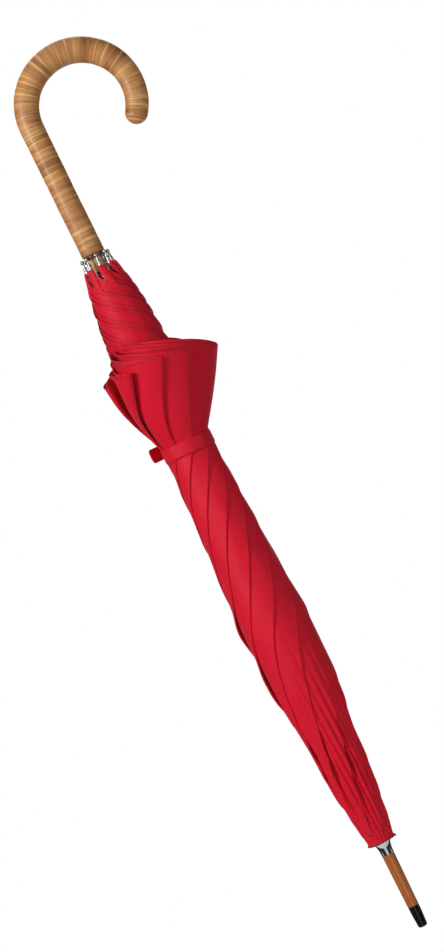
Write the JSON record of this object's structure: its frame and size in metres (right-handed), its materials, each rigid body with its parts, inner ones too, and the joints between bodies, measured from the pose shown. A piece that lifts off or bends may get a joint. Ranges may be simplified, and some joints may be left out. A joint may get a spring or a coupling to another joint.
{
  "type": "stick umbrella",
  "caption": "Furled stick umbrella with a crook handle, folding rib frame, sliding runner, wrapped cloth canopy, strap and ferrule.",
  "frame": {"origin": "on the shaft axis at the end face of the ferrule tip", "axes": "+Z along the shaft from the ferrule tip to the handle; +X towards the opening of the crook"},
  "size_m": [0.1705, 0.108, 0.907],
  "materials": {
    "handle_wood": "satin",
    "collar_brown": "gloss",
    "shaft_wood": "satin",
    "ferrule_wood": "gloss",
    "tip_black": "gloss",
    "chrome": "polished",
    "steel": "satin",
    "spring_steel": "satin",
    "rib_steel": "satin",
    "tip_nickel": "polished",
    "canopy_cloth": "matte",
    "stud_nickel": "polished"
  },
  "bodies": {
    "handle_and_shaft": {"crook_handle": "handle_wood", "handle_collar": "collar_brown", "shaft": "shaft_wood", "stop_pin": "steel", "wooden_ferrule": "ferrule_wood", "ferrule_tip": "tip_black", "ferrule_cap": "chrome", "canopy_crown": "canopy_cloth", "top_notch": "steel", "notch_wire": "steel"},
    "rib_1": {"rib_1": "rib_steel", "rib_tip_1": "tip_nickel", "elbow_pin_1": "rib_steel"},
    "stretcher_1": {"stretcher_1": "rib_steel"},
    "gore_1": {"canopy_gore_1": "canopy_cloth"},
    "rib_2": {"rib_2": "rib_steel", "rib_tip_2": "tip_nickel", "elbow_pin_2": "rib_steel"},
    "stretcher_2": {"stretcher_2": "rib_steel"},
    "gore_2": {"canopy_gore_2": "canopy_cloth"},
    "rib_3": {"rib_3": "rib_steel", "rib_tip_3": "tip_nickel", "elbow_pin_3": "rib_steel"},
    "stretcher_3": {"stretcher_3": "rib_steel"},
    "gore_3": {"canopy_gore_3": "canopy_cloth"},
    "rib_4": {"rib_4": "rib_steel", "rib_tip_4": "tip_nickel", "elbow_pin_4": "rib_steel"},
    "stretcher_4": {"stretcher_4": "rib_steel"},
    "gore_4": {"canopy_gore_4": "canopy_cloth", "strap_band": "canopy_cloth"},
    "rib_5": {"rib_5": "rib_steel", "rib_tip_5": "tip_nickel", "elbow_pin_5": "rib_steel"},
    "stretcher_5": {"stretcher_5": "rib_steel"},
    "gore_5": {"canopy_gore_5": "canopy_cloth"},
    "rib_6": {"rib_6": "rib_steel", "rib_tip_6": "tip_nickel", "elbow_pin_6": "rib_steel"},
    "stretcher_6": {"stretcher_6": "rib_steel"},
    "gore_6": {"canopy_gore_6": "canopy_cloth"},
    "rib_7": {"rib_7": "rib_steel", "rib_tip_7": "tip_nickel", "elbow_pin_7": "rib_steel"},
    "stretcher_7": {"stretcher_7": "rib_steel"},
    "gore_7": {"canopy_gore_7": "canopy_cloth"},
    "rib_8": {"rib_8": "rib_steel", "rib_tip_8": "tip_nickel", "elbow_pin_8": "rib_steel"},
    "stretcher_8": {"stretcher_8": "rib_steel"},
    "gore_8": {"canopy_gore_8": "canopy_cloth"},
    "runner": {"runner": "steel", "runner_wire": "steel"},
    "strap_tab": {"strap_tab": "canopy_cloth", "press_stud": "stud_nickel"},
    "hand_spring": {"hand_spring": "spring_steel"},
    "top_spring": {"top_spring": "spring_steel"}
  },
  "joints": [
    {"name": "canopy_opening", "type": "hinge", "parent": "handle_and_shaft", "child": "rib_1", "pos_m": [0.01044, 0.0011, 0.103], "axis": [-0.1045, 0.9945, 0], "range_deg": [0, 68], "deforming": ["hand_spring", "top_spring", "strap_band"]},
    {"name": "elbow_1", "type": "hinge", "parent": "rib_1", "child": "stretcher_1", "pos_m": [0.01044, 0.0011, 0.363], "axis": [-0.1045, 0.9945, 0], "range_deg": [-136, 0]},
    {"name": "gore_1_spread", "type": "hinge", "parent": "rib_1", "child": "gore_1", "pos_m": [0.0147, 0.00353, 0.09501], "axis": [-0.9667, -0.2558, 0], "range_deg": [0, 41.56]},
    {"name": "rib_2_hinge", "type": "hinge", "parent": "handle_and_shaft", "child": "rib_2", "pos_m": [0.00661, 0.00816, 0.103], "axis": [-0.7771, 0.6293, 0], "range_deg": [0, 68]},
    {"name": "elbow_2", "type": "hinge", "parent": "rib_2", "child": "stretcher_2", "pos_m": [0.00661, 0.00816, 0.363], "axis": [-0.7771, 0.6293, 0], "range_deg": [-136, 0]},
    {"name": "gore_2_spread", "type": "hinge", "parent": "rib_2", "child": "gore_2", "pos_m": [0.0079, 0.0129, 0.09501], "axis": [-0.5027, -0.8645, 0], "range_deg": [0, 41.56]},
    {"name": "rib_3_hinge", "type": "hinge", "parent": "handle_and_shaft", "child": "rib_3", "pos_m": [-0.0011, 0.01044, 0.103], "axis": [-0.9945, -0.1045, 0], "range_deg": [0, 68]},
    {"name": "elbow_3", "type": "hinge", "parent": "rib_3", "child": "stretcher_3", "pos_m": [-0.0011, 0.01044, 0.363], "axis": [-0.9945, -0.1045, 0], "range_deg": [-136, 0]},
    {"name": "gore_3_spread", "type": "hinge", "parent": "rib_3", "child": "gore_3", "pos_m": [-0.00353, 0.0147, 0.09501], "axis": [0.2558, -0.9667, 0], "range_deg": [0, 41.56]},
    {"name": "rib_4_hinge", "type": "hinge", "parent": "handle_and_shaft", "child": "rib_4", "pos_m": [-0.00816, 0.00661, 0.103], "axis": [-0.6293, -0.7771, 0], "range_deg": [0, 68]},
    {"name": "elbow_4", "type": "hinge", "parent": "rib_4", "child": "stretcher_4", "pos_m": [-0.00816, 0.00661, 0.363], "axis": [-0.6293, -0.7771, 0], "range_deg": [-136, 0]},
    {"name": "gore_4_spread", "type": "hinge", "parent": "rib_4", "child": "gore_4", "pos_m": [-0.0129, 0.0079, 0.09501], "axis": [0.8645, -0.5027, 0], "range_deg": [0, 41.56]},
    {"name": "rib_5_hinge", "type": "hinge", "parent": "handle_and_shaft", "child": "rib_5", "pos_m": [-0.01044, -0.0011, 0.103], "axis": [0.1045, -0.9945, 0], "range_deg": [0, 68]},
    {"name": "elbow_5", "type": "hinge", "parent": "rib_5", "child": "stretcher_5", "pos_m": [-0.01044, -0.0011, 0.363], "axis": [0.1045, -0.9945, 0], "range_deg": [-136, 0]},
    {"name": "gore_5_spread", "type": "hinge", "parent": "rib_5", "child": "gore_5", "pos_m": [-0.0147, -0.00353, 0.09501], "axis": [0.9667, 0.2558, 0], "range_deg": [0, 41.56]},
    {"name": "rib_6_hinge", "type": "hinge", "parent": "handle_and_shaft", "child": "rib_6", "pos_m": [-0.00661, -0.00816, 0.103], "axis": [0.7771, -0.6293, 0], "range_deg": [0, 68]},
    {"name": "elbow_6", "type": "hinge", "parent": "rib_6", "child": "stretcher_6", "pos_m": [-0.00661, -0.00816, 0.363], "axis": [0.7771, -0.6293, 0], "range_deg": [-136, 0]},
    {"name": "gore_6_spread", "type": "hinge", "parent": "rib_6", "child": "gore_6", "pos_m": [-0.0079, -0.0129, 0.09501], "axis": [0.5027, 0.8645, 0], "range_deg": [0, 41.56]},
    {"name": "rib_7_hinge", "type": "hinge", "parent": "handle_and_shaft", "child": "rib_7", "pos_m": [0.0011, -0.01044, 0.103], "axis": [0.9945, 0.1045, 0], "range_deg": [0, 68]},
    {"name": "elbow_7", "type": "hinge", "parent": "rib_7", "child": "stretcher_7", "pos_m": [0.0011, -0.01044, 0.363], "axis": [0.9945, 0.1045, 0], "range_deg": [-136, 0]},
    {"name": "gore_7_spread", "type": "hinge", "parent": "rib_7", "child": "gore_7", "pos_m": [0.00353, -0.0147, 0.09501], "axis": [-0.2558, 0.9667, 0], "range_deg": [0, 41.56]},
    {"name": "rib_8_hinge", "type": "hinge", "parent": "handle_and_shaft", "child": "rib_8", "pos_m": [0.00816, -0.00661, 0.103], "axis": [0.6293, 0.7771, 0], "range_deg": [0, 68]},
    {"name": "elbow_8", "type": "hinge", "parent": "rib_8", "child": "stretcher_8", "pos_m": [0.00816, -0.00661, 0.363], "axis": [0.6293, 0.7771, 0], "range_deg": [-136, 0]},
    {"name": "gore_8_spread", "type": "hinge", "parent": "rib_8", "child": "gore_8", "pos_m": [0.0129, -0.0079, 0.09501], "axis": [-0.8645, 0.5027, 0], "range_deg": [0, 41.56]},
    {"name": "runner_travel", "type": "hinge", "parent": "stretcher_1", "child": "runner", "pos_m": [0.01044, 0.0011, 0.623], "axis": [-0.1045, 0.9945, 0], "range_deg": [0, 68]},
    {"name": "strap_tab_lift", "type": "hinge", "parent": "gore_4", "child": "strap_tab", "pos_m": [-0.02252, 0.013, 0.507], "axis": [0, 0, -1], "range_deg": [0, 100]},
    {"name": "hand_spring_press", "type": "hinge", "parent": "handle_and_shaft", "child": "hand_spring", "pos_m": [0.0022, 0.00119, 0.687], "axis": [-0.4772, 0.8788, 0], "range_deg": [0, 4], "stiffness_Nm_per_rad": 0.4},
    {"name": "top_spring_press", "type": "hinge", "parent": "handle_and_shaft", "child": "top_spring", "pos_m": [0.0022, 0.00119, 0.4028], "axis": [-0.4772, 0.8788, 0], "range_deg": [0, 4], "stiffness_Nm_per_rad": 0.4}
  ],
  "couplings": [
    {"joint": "elbow_1", "follows": "canopy_opening", "ratio": -2},
    {"joint": "gore_1_spread", "follows": "canopy_opening", "ratio": 0.61124},
    {"joint": "rib_2_hinge", "follows": "canopy_opening", "ratio": 1},
    {"joint": "elbow_2", "follows": "canopy_opening", "ratio": -2},
    {"joint": "gore_2_spread", "follows": "canopy_opening", "ratio": 0.61124},
    {"joint": "rib_3_hinge", "follows": "canopy_opening", "ratio": 1},
    {"joint": "elbow_3", "follows": "canopy_opening", "ratio": -2},
    {"joint": "gore_3_spread", "follows": "canopy_opening", "ratio": 0.61124},
    {"joint": "rib_4_hinge", "follows": "canopy_opening", "ratio": 1},
    {"joint": "elbow_4", "follows": "canopy_opening", "ratio": -2},
    {"joint": "gore_4_spread", "follows": "canopy_opening", "ratio": 0.61124},
    {"joint": "rib_5_hinge", "follows": "canopy_opening", "ratio": 1},
    {"joint": "elbow_5", "follows": "canopy_opening", "ratio": -2},
    {"joint": "gore_5_spread", "follows": "canopy_opening", "ratio": 0.61124},
    {"joint": "rib_6_hinge", "follows": "canopy_opening", "ratio": 1},
    {"joint": "elbow_6", "follows": "canopy_opening", "ratio": -2},
    {"joint": "gore_6_spread", "follows": "canopy_opening", "ratio": 0.61124},
    {"joint": "rib_7_hinge", "follows": "canopy_opening", "ratio": 1},
    {"joint": "elbow_7", "follows": "canopy_opening", "ratio": -2},
    {"joint": "gore_7_spread", "follows": "canopy_opening", "ratio": 0.61124},
    {"joint": "rib_8_hinge", "follows": "canopy_opening", "ratio": 1},
    {"joint": "elbow_8", "follows": "canopy_opening", "ratio": -2},
    {"joint": "gore_8_spread", "follows": "canopy_opening", "ratio": 0.61124},
    {"joint": "runner_travel", "follows": "canopy_opening", "ratio": 1}
  ]
}
